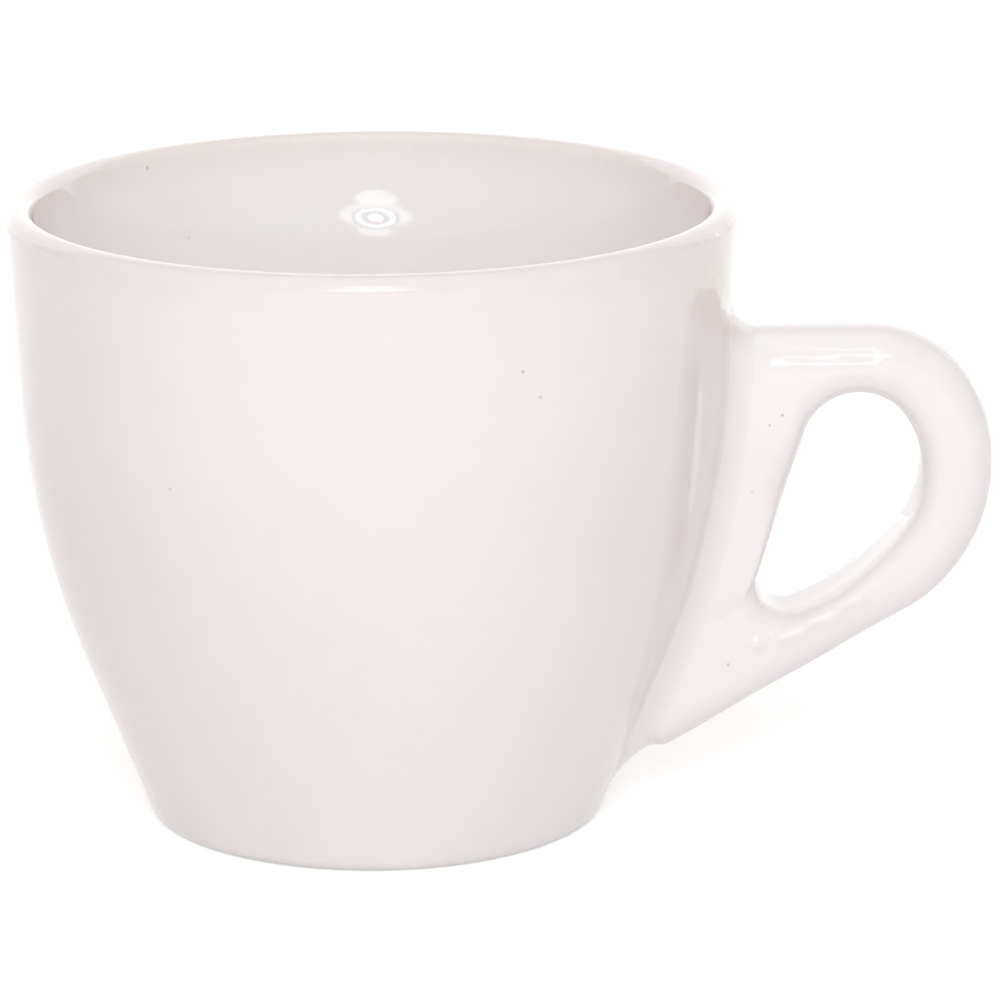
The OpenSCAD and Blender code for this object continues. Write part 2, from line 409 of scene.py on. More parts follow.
class Effects:
    """Shader node groups that several finishes share. Each is built once."""

    SOCKETS = {"Vector": "NodeSocketVector", "Colour": "NodeSocketColor"}
    SMALL_CLOUD = 9.0
    BROAD_SHARE, SMALL_SHARE = 0.7, 0.3
    CLOUD_SPAN = (0.34, 0.66)
    SPECK_SPREAD, SPECK_LEAST = 0.8, 0.4
    SPECK_CORE = 0.55
    GLOSS_SPAN = (0.3, 0.7)

    def __init__(self) -> None:
        """Builds the groups."""
        self.tone = self._group(
            "glaze_tone", ["Vector", "Scale", "Thin Colour", "Thick Colour"], "Tone Colour", self._tone)
        self.specks = self._group("iron_specks", ["Vector", "Scale", "Radius"], "Mask", self._specks)
        self.ripple = self._group(
            "glaze_ripple", ["Vector", "Swell Scale", "Peel Scale", "Peel Share"], "Height", self._ripple)
        self.gloss = self._group("gloss_drift", ["Vector", "Scale", "Low", "High"], "Roughness", self._gloss)

    def _group(self, name: str, inputs: list[str], output: str,
               work: Callable[[Graph, Node], Socket]) -> bpy.types.NodeTree:
        """Builds a group.

        Args:
            name: the group's name.
            inputs: names of its inputs; Vector and names that end in Colour get their own kind of socket.
            output: name of its one output.
            work: adds the nodes between the two ends and gives the socket to put out.

        Returns:
            The group.
        """
        tree = bpy.data.node_groups.new(name, "ShaderNodeTree")
        for label, way in [*((label, "INPUT") for label in inputs), (output, "OUTPUT")]:
            kind = self.SOCKETS.get(label.split()[-1], "NodeSocketFloat")
            tree.interface.new_socket(label, in_out=way, socket_type=kind)
        graph = Graph(tree)
        given, out = graph.add("NodeGroupInput"), graph.add("NodeGroupOutput")
        tree.links.new(work(graph, given), out.inputs[0])
        return tree

    def _tone(self, graph: Graph, given: Node) -> Socket:
        """Cloudy drift between the colour of a thin coat and that of a thick one, in two sizes of cloud.

        Args:
            graph: the group's nodes.
            given: its input node.

        Returns:
            The colour.
        """
        place, scale = given.outputs["Vector"], given.outputs["Scale"]
        small_scale = graph.math("MULTIPLY", scale, self.SMALL_CLOUD)
        broad = graph.noise(place, scale, detail=3.0)
        small = graph.noise(place, small_scale, detail=4.0, roughness=0.6)
        broad = graph.math("MULTIPLY", broad, self.BROAD_SHARE)
        small = graph.math("MULTIPLY", small, self.SMALL_SHARE)
        share = graph.ramp(graph.math("ADD", broad, small), *self.CLOUD_SPAN, 0.0, 1.0)
        return graph.blend(share, given.outputs["Thin Colour"], given.outputs["Thick Colour"])

    def _specks(self, graph: Graph, given: Node) -> Socket:
        """Round specks: balls of uneven size about scattered points, cut by the surface.

        Args:
            graph: the group's nodes.
            given: its input node.

        Returns:
            The mask of the specks.
        """
        inputs = {"Vector": given.outputs["Vector"], "Scale": given.outputs["Scale"], "Randomness": 1.0}
        cells = graph.add("ShaderNodeTexVoronoi", inputs, feature="F1")
        draw = graph.add("ShaderNodeSeparateColor", {"Color": cells.outputs["Color"]}).outputs["Red"]
        share = graph.math("MULTIPLY_ADD", draw, self.SPECK_SPREAD, self.SPECK_LEAST)
        size = graph.math("MULTIPLY", given.outputs["Radius"], share)
        core = graph.math("MULTIPLY", size, self.SPECK_CORE)
        return graph.ramp(cells.outputs["Distance"], core, size, 1.0, 0.0)

    @staticmethod
    def _ripple(graph: Graph, given: Node) -> Socket:
        """Height of a glaze skin: a slow swell with a fine orange peel on it.

        Args:
            graph: the group's nodes.
            given: its input node.

        Returns:
            The height.
        """
        swell = graph.noise(given.outputs["Vector"], given.outputs["Swell Scale"], detail=2.0)
        peel = graph.noise(given.outputs["Vector"], given.outputs["Peel Scale"], detail=3.0)
        return graph.math("ADD", swell, graph.math("MULTIPLY", peel, given.outputs["Peel Share"]))

    def _gloss(self, graph: Graph, given: Node) -> Socket:
        """Roughness that drifts between a low and a high value."""
        cloud = graph.noise(given.outputs["Vector"], given.outputs["Scale"], detail=5.0, roughness=0.6)
        return graph.ramp(cloud, *self.GLOSS_SPAN, given.outputs["Low"], given.outputs["High"])


@dataclass(frozen=True)
class Finish(ABC):
    """A fired finish: a gloss that drifts between two values, and a relief of slow swells and fine peel."""

    name: str
    cloud_scale: float = 45.0
    gloss_scale: float = 240.0
    gloss_low: float = 0.035
    gloss_high: float = 0.07
    relief: float = 0.012
    swell_scale: float = 160.0
    peel_scale: float = 1500.0
    peel_share: float = 0.06
    ior: float = 1.52

    @abstractmethod
    def skin(self, graph: Graph, place: Socket, ripple: Socket, effects: Effects) -> tuple[Socket, Socket]:
        """Colour and height of the surface, which each kind of finish lays in its own way.

        Args:
            graph: the material's nodes.
            place: the piece's own coordinates.
            ripple: height of the swell and the peel.
            effects: the shared node groups.

        Returns:
            The colour and the height.
        """

    def material(self, effects: Effects) -> Material:
        """Builds the material.

        Args:
            effects: the shared node groups.

        Returns:
            A material that reads the piece's own coordinates.
        """
        made = bpy.data.materials.new(self.name)
        made.use_nodes = True
        graph = Graph(made.node_tree)
        shader = made.node_tree.nodes["Principled BSDF"]
        shader.inputs["IOR"].default_value = self.ior
        place = graph.add("ShaderNodeTexCoord").outputs["Object"]
        ripple = graph.group(effects.ripple, {
            "Vector": place, "Swell Scale": self.swell_scale, "Peel Scale": self.peel_scale,
            "Peel Share": self.peel_share})
        gloss = graph.group(effects.gloss, {
            "Vector": place, "Scale": self.gloss_scale, "Low": self.gloss_low, "High": self.gloss_high})
        colour, height = self.skin(graph, place, ripple, effects)
        bump = graph.add("ShaderNodeBump", {"Height": height, "Distance": self.relief * MM, "Strength": 1.0})
        for result, name in ((colour, "Base Color"), (gloss, "Roughness"), (bump.outputs[0], "Normal")):
            graph.tree.links.new(result, shader.inputs[name])
        return made


@dataclass(frozen=True)
class Glaze(Finish):
    """Glossy warm white glaze: cloudy tone, iron specks, and clay that shows through a thin coat."""

    thin: Colour = (0.880, 0.855, 0.855, 1.0)
    thick: Colour = (0.895, 0.878, 0.878, 1.0)
    speck: Colour = (0.40, 0.31, 0.26, 1.0)
    bare: Colour = (0.78, 0.64, 0.50, 1.0)
    specks: tuple[Spot, ...] = ()
    stains: tuple[Spot, ...] = ()
    thin_from: float = 50.5
    thin_to: float = 53.5
    thin_share: float = 0.0
    speck_cell: float = 5.0
    speck_r: float = 0.15
    speck_pit: float = 0.5
    scatter_y: float = 5.0
    scatter_share: float = 0.6
    patch_scale: float = 900.0
    patch_least: float = 0.7

    PATCH_SPAN = (0.35, 0.65)

    def skin(self, graph: Graph, place: Socket, ripple: Socket, effects: Effects) -> tuple[Socket, Socket]:
        """Lays the cloudy tone, patchy stains where clay shows through, and specks, each a small pit.

        Specks and stains have set places. On the far side some specks are scattered too.

        Args:
            graph: the material's nodes.
            place: the piece's own coordinates.
            ripple: height of the swell and the peel.
            effects: the shared node groups.

        Returns:
            The colour and the height.
        """
        axes = graph.add("ShaderNodeSeparateXYZ", {0: place}).outputs
        tone = graph.group(effects.tone, {
            "Vector": place, "Scale": self.cloud_scale, "Thin Colour": self.thin, "Thick Colour": self.thick})
        scattered = graph.group(effects.specks, {
            "Vector": place, "Scale": 1.0 / (self.speck_cell * MM), "Radius": self.speck_r / self.speck_cell})
        behind = graph.ramp(axes["Y"], 0.0, self.scatter_y * MM, 0.0, self.scatter_share)
        specks = graph.spots(place, self.specks, graph.math("MULTIPLY", scattered, behind))
        lip = graph.ramp(axes["Z"], self.thin_from * MM, self.thin_to * MM, 0.0, self.thin_share)
        cloud = graph.noise(place, self.patch_scale, detail=4.0, roughness=0.6)
        patchy = graph.ramp(cloud, *self.PATCH_SPAN, self.patch_least, 1.0)
        stain = graph.math("MULTIPLY", graph.spots(place, self.stains, lip), patchy)
        colour = graph.blend(specks, graph.blend(stain, tone, self.bare), self.speck)
        return colour, graph.math("SUBTRACT", ripple, graph.math("MULTIPLY", specks, self.speck_pit))


@dataclass(frozen=True)
class FiredClay(Finish):
    """Bare fired clay: warm, matt and slightly gritty."""

    cloud_scale: float = 120.0
    gloss_scale: float = 500.0
    gloss_low: float = 0.62
    gloss_high: float = 0.85
    relief: float = 0.05
    swell_scale: float = 700.0
    peel_scale: float = 4200.0
    peel_share: float = 0.8
    ior: float = 1.5
    pale: Colour = (0.86, 0.70, 0.53, 1.0)
    toasted: Colour = (0.74, 0.53, 0.35, 1.0)
    grit: Colour = (0.30, 0.19, 0.12, 1.0)
    grit_scale: float = 1200.0
    grit_r: float = 0.22
    grit_share: float = 0.5

    def skin(self, graph: Graph, place: Socket, ripple: Socket, effects: Effects) -> tuple[Socket, Socket]:
        """Lays the cloudy tone of the clay and dark grit on it.

        Args:
            graph: the material's nodes.
            place: the piece's own coordinates.
            ripple: height of the swell and the peel.
            effects: the shared node groups.

        Returns:
            The colour and the height.
        """
        tone = graph.group(effects.tone, {
            "Vector": place, "Scale": self.cloud_scale, "Thin Colour": self.toasted,
            "Thick Colour": self.pale})
        specks = graph.group(effects.specks, {
            "Vector": place, "Scale": self.grit_scale, "Radius": self.grit_r})
        return graph.blend(graph.math("MULTIPLY", specks, self.grit_share), tone, self.grit), ripple


CLAY = FiredClay("bare_clay")
SLIP = FiredClay("fired_slip", toasted=(0.60, 0.44, 0.30, 1.0))
OUTSIDE = Glaze(
    "outside_glaze",
    thin_share=0.12,
    specks=(
        Spot((12.3, -28.9, 46.3), 0.22, 0.55),
        Spot((13.8, -28.1, 43.9), 0.20, 0.50),
        Spot((-17.1, -25.6, 35.7), 0.18, 0.45),
    ),
    stains=(
        Spot((28.6, -14.0, 50.5), 6.0, 0.20),
        Spot((29.4, -12.0, 49.0), 5.0, 0.34),
        Spot((30.6, -8.0, 46.6), 3.2, 0.42),
        Spot((30.2, -9.5, 53.0), 2.5, 0.25),
    ),
)
# The inside coat is the same glaze as the outside, painted lighter: its thin and thick colours hold painted
# light that brightens the lining against the shade of the cup's hollow. Its specks and lip tone are the
# glaze's own.
INSIDE_PAINTED_LIGHTER = Glaze(
    "inside_glaze",
    thin=(0.940, 0.918, 0.916, 1.0),
    thick=(0.955, 0.938, 0.938, 1.0),
    thin_share=0.20,
    thin_to=54.8,
    specks=(
        Spot((-20.3, 21.2, 53.6), 0.24, 0.55),
        Spot((-5.7, 27.8, 47.5), 0.18, 0.45),
        Spot((3.9, 27.5, 43.4), 0.18, 0.40),
        Spot((16.5, 24.4, 54.4), 0.18, 0.45),
    ),
    gloss_low=0.025,
    gloss_high=0.05,
)
# The handle's coat is the same glaze as the outside, painted lighter: its thin and thick colours hold painted
# light that brightens the handle. Its specks and stains are the glaze's own.
LOOP_PAINTED_LIGHTER = Glaze(
    "handle_glaze",
    thin=(0.930, 0.906, 0.906, 1.0),
    thick=(0.942, 0.926, 0.926, 1.0),
    cloud_scale=70.0,
    relief=0.02,
    thin_from=60.0,
    thin_to=61.0,
    specks=(
        Spot((35.6, -4.5, 36.3), 0.22, 0.55),
        Spot((34.5, -4.5, 35.4), 0.18, 0.50),
        Spot((33.0, -4.5, 29.4), 0.16, 0.45),
        Spot((35.7, -4.5, 19.3), 0.16, 0.45),
        Spot((31.0, -4.5, 13.7), 0.20, 0.50),
        Spot((38.6, -4.5, 14.7), 0.18, 0.45),
    ),
    stains=(
        Spot((43.8, -4.0, 22.9), 0.8, 0.35),
        Spot((31.0, -5.5, 45.0), 2.2, 0.25),
    ),
)
FOOT = Glaze("foot_glaze", gloss_high=0.2)


def place_piece(name: str, surface: Surface, slot: Slot, finish: Material, *nodes: str) -> None:
    """Makes a piece of the cup from a surface and lets it stand for its nodes.

    Args:
        name: the piece's name.
        surface: its grid of points.
        slot: the record's slot for its finish; not used.
        finish: its material.
        nodes: the frame's nodes that it stands for.
    """
    piece = bpy.data.objects.new(name, surface.mesh(name))
    bpy.context.scene.collection.objects.link(piece)
    piece.data.materials.append(finish)
    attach(piece, BODY)
    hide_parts(*nodes)
    LOG.info("%s: %d faces", name, len(piece.data.polygons))


@dataclass(frozen=True)
class Bowl:
    """The bowl: a clay body under coats of glaze, outside, inside and in the recess of the foot."""

    rim_r: float = 32.0
    height: float = 55.0
    upper_taper: float = 3.5
    lower_taper: float = 21.5
    break_h: float = 26.0
    belly_r: float = 80.0
    lip_t: float = 2.5
    inner_taper: float = 9.0
    inner_round: float = 18.0
    floor_t: float = 4.2
    foot_round: float = 1.8
    bare_h: float = 0.2
    ring_w: float = 3.0
    recess_h: float = 1.6
    recess_round: float = 1.0
    coat_t: float = 0.3
    flare: float = 15.0
    bend_top: float = 50.1
    bend_r: float = 55.0
    calm: float = 4.0
    foot_rows: int = 12
    lower_rows: int = 24
    belly_rows: int = 72
    upper_rows: int = 48
    lip_rows: int = 48
    inner_lip_rows: int = 32
    inner_wall_rows: int = 64
    bottom_rows: int = 40
    floor_rows: int = 12
    cone_rows: int = 32
    bend_rows: int = 64
    shaft_rows: int = 36
    recess_rows: int = 10
    corner_rows: int = 12
    bead_rows: int = 8
    toe_rows: int = 12
    clay_coarse: int = 2
    back_coarse: int = 4
    columns: int = 320
    crowd: float = 0.6
    crowd_turn: float = -18.0
    waves: Waviness = Waviness(height=0.03, length=17.0, seed=3)
    marks: tuple[Mark, ...] = (
        # A shallow dent along the front of the lip, then small rises and dents near the handle.
        Mark(((-9.5, -30.4, 54.03), (-4.8, -31.5, 54.03), (0.0, -31.85, 54.03), (4.8, -31.5, 54.03),
              (9.5, -30.4, 54.03)), -0.10, 0.35),
        Mark(((27.7, -15.8, 53.8),), 0.07, 0.34),
        Mark(((29.6, -12.0, 54.2), (30.3, -9.9, 54.5)), -0.09, 0.30),
        Mark(((27.5, -15.8, 50.3),), 0.06, 0.40),
        Mark(((29.3, -12.4, 49.8), (29.9, -10.9, 48.2), (29.9, -10.4, 47.0)), 0.05, 0.45),
        Mark(((30.6, -8.4, 47.6), (31.2, -5.9, 46.4)), -0.07, 0.45),
        Mark(((29.0, -13.3, 51.6), (29.6, -11.8, 51.2)), -0.04, 0.55),
    )

    @cached_property
    def break_r(self) -> float:
        """Radius at which the lines of the upper and the lower wall cross."""
        return self.rim_r - (self.height - self.break_h) * math.tan(math.radians(self.upper_taper))

    @cached_property
    def belly_top(self) -> Array:
        """Point where the straight upper wall ends."""
        run = self.belly_r * math.tan(math.radians(self.lower_taper - self.upper_taper) / 2.0)
        return np.array([self.break_r, self.break_h]) + run * unit(90.0 - self.upper_taper)

    @cached_property
    def belly_c(self) -> Array:
        """Centre of the round between the upper and the lower wall."""
        return self.belly_top - self.belly_r * unit(-self.upper_taper)

    @cached_property
    def belly_low(self) -> Array:
        """Point where the straight lower wall begins."""
        return self.belly_c + self.belly_r * unit(-self.lower_taper)

    @cached_property
    def lip_c(self) -> Array:
        """Centre of the lip's round.

        Returns:
            Its radius and height.
        """
        taper = math.radians(self.upper_taper)
        lip_r = self.lip_t / 2.0
        return np.array([self.rim_r - lip_r * (math.tan(taper) + 1.0 / math.cos(taper)), self.height - lip_r])

    @cached_property
    def floor_z(self) -> float:
        """Height of the floor inside the cup."""
        return self.recess_h + self.floor_t

    @cached_property
    def inner_c(self) -> Array:
        """Centre of the round between the inside wall and the floor.

        Returns:
            Its radius and height.
        """
        taper = math.radians(self.inner_taper)
        centre_z = self.floor_z + self.inner_round
        reach = (self.lip_t / 2.0 + self.inner_round) / math.cos(taper)
        return np.array([self.lip_c[0] - reach - (self.lip_c[1] - centre_z) * math.tan(taper), centre_z])

    @cached_property
    def foot_c(self) -> Array:
        """Centre of the round at the outer edge of the foot.

        Returns:
            Its radius and height.
        """
        taper = math.radians(self.lower_taper)
        line = self.belly_low[0] - (self.belly_low[1] - self.foot_round) * math.tan(taper)
        return np.array([line - (self.coat_t + self.foot_round) / math.cos(taper), self.foot_round])

    @cached_property
    def coat_end(self) -> float:
        """Angle on that round at which the outside coat ends."""
        return -math.degrees(math.asin((self.foot_round - self.bare_h) / (self.foot_round + self.coat_t)))

    def wall_r(self, height: Array) -> Array:
        """Radius of the glazed outside at a height: two straight tapers with a round between them.

        Args:
            height: heights above the standing plane.

        Returns:
            A radius for each height.
        """
        upper = self.rim_r - (self.height - height) * math.tan(math.radians(self.upper_taper))
        lower = self.break_r - (self.break_h - height) * math.tan(math.radians(self.lower_taper))
        bulge = np.sqrt(np.maximum(self.belly_r**2 - (height - self.belly_c[1]) ** 2, 0.0))
        low = height < self.belly_low[1]
        high = height > self.belly_top[1]
        return np.where(high, upper, np.where(low, lower, self.belly_c[0] + bulge))

    def wall_slope(self, height: Array) -> Array:
        """Taper of the glazed outside at a height, in degrees."""
        lean = np.degrees(np.arcsin(np.clip((self.belly_c[1] - height) / self.belly_r, -1.0, 1.0)))
        return np.clip(lean, self.upper_taper, self.lower_taper)

    def outside(self, under: float, coarse: int = 1) -> Array:
        """Profile of the outside from the end of its coat up to the crown of the lip.

        Args:
            under: depth below the glazed surface.
            coarse: by how much the points are thinned out.

        Returns:
            Points as radius and height.
        """
        round_r = self.foot_round + self.coat_t - under
        foot = Arc(self.foot_c, round_r, self.coat_end, -self.lower_taper).points(self.foot_rows // coarse)
        belly = Arc(self.belly_c, self.belly_r - under, -self.lower_taper, -self.upper_taper)
        belly = belly.points(self.belly_rows // coarse)
        lip = Arc(self.lip_c, self.lip_t / 2.0 - under, -self.upper_taper, 90.0)
        lip = lip.points(self.lip_rows // coarse)
        lower = Line(foot[-1], belly[0]).points(self.lower_rows // coarse)
        upper = Line(belly[-1], lip[0]).points(self.upper_rows // coarse)
        return np.concatenate([foot[:-1], lower[:-1], belly[:-1], upper[:-1], lip])

    def inside(self, under: float, coarse: int = 1) -> Array:
        """Profile of the inside from the crown of the lip down to the axis, as the solid has it.

        Args:
            under: depth below the glazed surface.
            coarse: by how much the points are thinned out.

        Returns:
            Points as radius and height.
        """
        lip = Arc(self.lip_c, self.lip_t / 2.0 - under, 90.0, 180.0 - self.inner_taper)
        lip = lip.points(self.inner_lip_rows // coarse, Ease.START)
        bottom = Arc(self.inner_c, self.inner_round + under, -self.inner_taper, -90.0)
        bottom = bottom.points(self.bottom_rows // coarse)
        wall = Line(lip[-1], bottom[0]).points(self.inner_wall_rows // coarse)
        floor = Line(bottom[-1], np.array([0.0, self.floor_z - under])).points(self.floor_rows // coarse)
        return np.concatenate([lip[:-1], wall[:-1], bottom[:-1], floor])

    def glazed_inside(self) -> Array:
        """Profile of the glazed inside from the crown of the lip down to the axis.

        Under the lip the glaze flares: a straight cone runs into a wide bend, and from the bend a straight
        wall, tangent to both rounds, runs down to the round of the bottom.

        Returns:
            Points as radius and height.
        """
        normal = unit(180.0 - self.flare)
        lip = Arc(self.lip_c, self.lip_t / 2.0, 90.0, 180.0 - self.flare)
        lip = lip.points(self.inner_lip_rows, Ease.START)
        drop = (lip[-1, 1] - self.bend_top) / math.cos(math.radians(self.flare))
        bend_start = lip[-1] + drop * unit(270.0 - self.flare)
        bend_c = bend_start - self.bend_r * normal
        across = self.inner_c - bend_c
        share = (self.bend_r + self.inner_round) / float(np.linalg.norm(across))
        low = 180.0 - (angle_of(across) % 360.0) + math.degrees(math.acos(share))
        bend = Arc(bend_c, self.bend_r, 180.0 - self.flare, 180.0 - low).points(self.bend_rows)
        bottom = Arc(self.inner_c, self.inner_round, -low, -90.0).points(self.bottom_rows)
        cone = Line(lip[-1], bend[0]).points(self.cone_rows)
        wall = Line(bend[-1], bottom[0]).points(self.shaft_rows)
        floor = Line(bottom[-1], np.array([0.0, self.floor_z])).points(self.floor_rows)
        return np.concatenate([lip[:-1], cone[:-1], bend[:-1], wall[:-1], bottom[:-1], floor])

    def recess(self, under: float) -> Array:
        """Profile of the recess under the bowl from the axis out to the top of its side.

        Args:
            under: depth below the clay.

        Returns:
            Points as radius and height.
        """
        corner = np.array([self.foot_c[0] - self.ring_w, self.recess_h]) - self.recess_round
        bend = Arc(corner, self.recess_round - under, 90.0, 0.0).points(self.corner_rows)
        flat = Line(np.array([0.0, self.recess_h - under]), bend[0]).points(self.recess_rows)
        return np.concatenate([flat[:-1], bend])

    def turns(self) -> Array:
        """Angles of the columns, crowded towards the handle: each turn less a share of its own sine."""
        turn = np.linspace(0.0, 2.0 * np.pi, self.columns, endpoint=False)
        return self.crowd_turn + np.degrees(turn - self.crowd * np.sin(turn))

    def poured(self, surface: Surface, first: int, count: int, pool: Pool | None = None) -> Surface:
        """Gives the glazed rows of a coat their slow waves and small marks.

        Args:
            surface: the even coat.
            first: number of the first glazed row.
            count: number of glazed rows.
            pool: glaze that gathers on the coat.

        Returns:
            The uneven coat; its waves die out towards the crown of the lip, where two coats meet.
        """
        rows = slice(first, first + count)
        places = surface.points[rows]
        height = np.zeros(surface.points.shape[:2])
        fade = np.clip((self.height - places[..., 2]) / self.calm, 0.0, 1.0)
        height[rows] = self.waves.at(places) * fade + sum(mark.at(places) for mark in self.marks)
        if pool is not None:
            height[rows] += pool.at(places)
        return surface.raised(height)

    def build(self, clay: Material, outer: Material, inner: Material, base: Material) -> None:
        """Makes the clay body and its three coats.

        Args:
            clay: finish of the bare clay.
            outer: finish of the outside coat.
            inner: finish of the inside coat.
            base: finish of the coat in the recess.
        """
        turns = self.turns()
        under = self.coat_t
        toe = Arc(self.foot_c, self.foot_round, -90.0, self.coat_end).points(self.toe_rows)
        ring = np.array([[self.foot_c[0] - self.ring_w, 0.0]])
        clay_out, clay_in = self.outside(under, self.clay_coarse), self.inside(under, self.clay_coarse)
        body = [self.recess(0.0), ring, toe, clay_out[1:-1], clay_in]
        outside, backing = self.outside(0.0), self.outside(under, self.back_coarse)
        edge = (outside[0] + backing[0]) / 2.0
        bead = Arc(edge, under / 2.0, self.coat_end - 180.0, self.coat_end).points(self.bead_rows)
        coat = revolve(np.concatenate([bead[1:-1], outside, backing[::-1]]), turns)
        inside = self.glazed_inside()[::-1]
        lining = revolve(np.concatenate([inside, self.inside(under, self.back_coarse)]), turns)
        disc = revolve(np.concatenate([self.recess(0.0), self.recess(under)[::-1]]), turns)
        coat = self.poured(coat, len(bead) - 2, len(outside), Pool())
        lining = self.poured(lining, 0, len(inside))
        place_piece("clay_bowl", revolve(np.concatenate(body), turns), Slot.CLAY, clay, "bowl")
        place_piece("outside_glaze", coat, Slot.GLAZE, outer, "outer_glaze")
        place_piece("inside_glaze", lining, Slot.GLAZE, inner, "inner_glaze")
        place_piece("foot_glaze", disc, Slot.GLAZE, base, "base_glaze")


class Side(Enum):
    """What the outer side of the loop is at a station."""

    TOP = 0
    ARC_TOP = 1
    ARC_LOW = 2
    LOW = 3
    ROOT = 4


@dataclass(frozen=True)
class Handle:
    """The loop handle. Its outline lies in the XZ plane, and its two faces stand on either side of it."""

    bowl: Bowl
    top: float = 43.7
    reach: float = 54.3
    thick: float = 9.0
    grip_top_r: float = 10.0
    grip_low_r: float = 15.2
    grip_turn: float = 30.0
    toe_h: float = 5.7
    toe_run: float = 3.4
    toe_r: float = 4.0
    outer_edge: float = 2.8
    root_fillet: float = 2.2
    root_power: float = 1.9
    limb_top: float = 6.0
    limb_side: float = 6.1
    limb_low: float = 5.0
    spine_w: float = 5.8
    hole_top_r: float = 4.9
    hole_side_r: float = 8.5
    hole_turn: float = 42.0
    hole_low_r: float = 23.0
    hole_corner_r: float = 2.6
    inner_edge: float = 2.6
    bend_depth: float = 6.0
    fan: float = 20.0
    shared: float = 0.96
    calm: float = 2.5
    edge_rows: int = 16
    face_rows: int = 44
    band_rows: int = 12
    waves: Waviness = Waviness(height=0.06, length=9.0, seed=8)
    marks: tuple[Mark, ...] = (
        # A crease by the hole's low corner, then a drop and three short runs along the lower limb.
        Mark(((33.8, -4.5, 20.6), (32.4, -4.5, 19.2), (31.5, -4.5, 18.3), (30.6, -4.5, 18.1)), -0.20, 0.55),
        Mark(((33.5, -4.5, 15.5),), 0.28, 0.46),
        Mark(((35.6, -4.5, 16.0), (37.4, -4.5, 16.5)), 0.27, 0.46),
        Mark(((38.2, -4.5, 17.3), (40.3, -4.5, 17.9)), 0.25, 0.46),
        Mark(((41.0, -4.5, 18.9), (42.6, -4.5, 19.4)), 0.23, 0.46),
        # A shallow dent along the upper limb, a notch at its root and a faint line by the far edge.
        Mark(((34.6, -4.5, 41.4), (36.0, -4.5, 41.6), (38.4, -4.5, 41.5), (40.8, -4.5, 41.6),
              (43.4, -4.5, 41.55)), -0.256, 0.65),
        Mark(((35.9, -3.0, 43.6),), -0.08, 0.50),
        Mark(((47.8, -3.9, 42.0), (51.1, -3.9, 37.7), (53.2, -3.9, 30.9)), -0.05, 0.40),
    )

    @cached_property
    def low_c(self) -> Array:
        """Centre of the lower outer arc."""
        rise = (self.grip_low_r - self.grip_top_r) * math.sin(math.radians(self.grip_turn))
        return np.array([self.reach - self.grip_low_r, self.top - self.grip_top_r - rise])

    @cached_property
    def top_c(self) -> Array:
        """Centre of the upper outer arc."""
        return self.low_c + (self.grip_low_r - self.grip_top_r) * unit(self.grip_turn)

    @cached_property
    def toe_p(self) -> Array:
        """Corner between the level toe and the sloping lower edge."""
        return np.array([float(self.bowl.wall_r(np.array(self.toe_h))) + self.toe_run, self.toe_h])

    @cached_property
    def low_a(self) -> float:
        """Angle of the lower edge's normal: the edge is the tangent from the toe to the lower arc."""
        lean = self.toe_p - self.low_c
        return angle_of(lean) + math.degrees(math.acos(self.grip_low_r / float(np.linalg.norm(lean))))

    @cached_property
    def low_start(self) -> Array:
        """Point where the lower arc runs into the straight lower edge."""
        return self.low_c + self.grip_low_r * unit(self.low_a)

    @cached_property
    def toe(self) -> Arc:
        """The bend between the straight lower edge and the level toe.

        Returns:
            An arc tangent to both.
        """
        half = self.toe_r * math.tan(math.radians(self.low_a + 90.0) / 2.0)
        centre = self.toe_p - half * unit(self.low_a - 90.0) - self.toe_r * unit(self.low_a)
        return Arc(centre, self.toe_r, self.low_a, -90.0)

    @cached_property
    def hole(self) -> tuple[Arc, Arc, Arc, Arc, Line]:
        """The finger hole as tangent stretches: top arc, far arc, lower side, low corner and left side.

        Returns:
            The stretches in that order, clockwise.
        """
        far_r, peak_r, corner_r = self.hole_side_r, self.hole_top_r, self.hole_corner_r
        rise = (far_r - peak_r) * math.sin(math.radians(self.hole_turn))
        far_c = np.array([self.reach - self.limb_side - far_r, self.top - self.limb_top - peak_r - rise])
        peak_c = far_c + (far_r - peak_r) * unit(self.hole_turn)
        corner_c = self._corner()
        left = peak_c - corner_c
        left_a = angle_of(left) + math.degrees(math.acos((corner_r - peak_r) / float(np.linalg.norm(left))))
        across = corner_c - far_c
        far_side, near_side = self.hole_low_r - far_r, self.hole_low_r - corner_r
        share = (far_side**2 + across @ across - near_side**2) / (2.0 * far_side * np.linalg.norm(across))
        low_c = far_c + far_side * unit(angle_of(across) - math.degrees(math.acos(share)))
        low_from, low_to = angle_of(far_c - low_c), angle_of(corner_c - low_c)
        normal = unit(left_a)
        return (
            Arc(peak_c, peak_r, left_a, self.hole_turn),
            Arc(far_c, far_r, self.hole_turn, low_from),
            Arc(low_c, self.hole_low_r, low_from, low_to),
            Arc(corner_c, corner_r, low_to, left_a - 360.0),
            Line(corner_c + corner_r * normal, peak_c + peak_r * normal),
        )

    def _corner(self) -> Array:
        """Centre of the hole's low corner, one spine from the wall and one lower limb from the lower edge.

        Returns:
            Its x and z, after two rounds of letting the wall follow the height.
        """
        normal = unit(self.low_a)
        inset = self.limb_low + self.hole_corner_r
        height = self.toe_h + self.grip_low_r
        for _ in range(2):
            across = float(self.bowl.wall_r(np.array(height))) + self.spine_w + self.hole_corner_r
            height = self.low_start[1] - (inset + (across - self.low_start[0]) * normal[0]) / normal[1]
        return np.array([across, height])

    def flare(self, off_wall: Array) -> Array:
        """How far the root fillet stands out off the wall: a power of the way that is left to its end."""
        left = np.maximum(1.0 - np.maximum(off_wall, 0.0) / self.root_fillet, 0.0)
        return self.root_fillet * left**self.root_power

    def off_wall(self, places: Array) -> Array:
        """Distance of places in the loop's plane from the bowl's wall."""
        lean = np.cos(np.radians(self.bowl.wall_slope(places[..., 1])))
        return np.maximum((places[..., 0] - self.bowl.wall_r(places[..., 1])) * lean, 0.0)

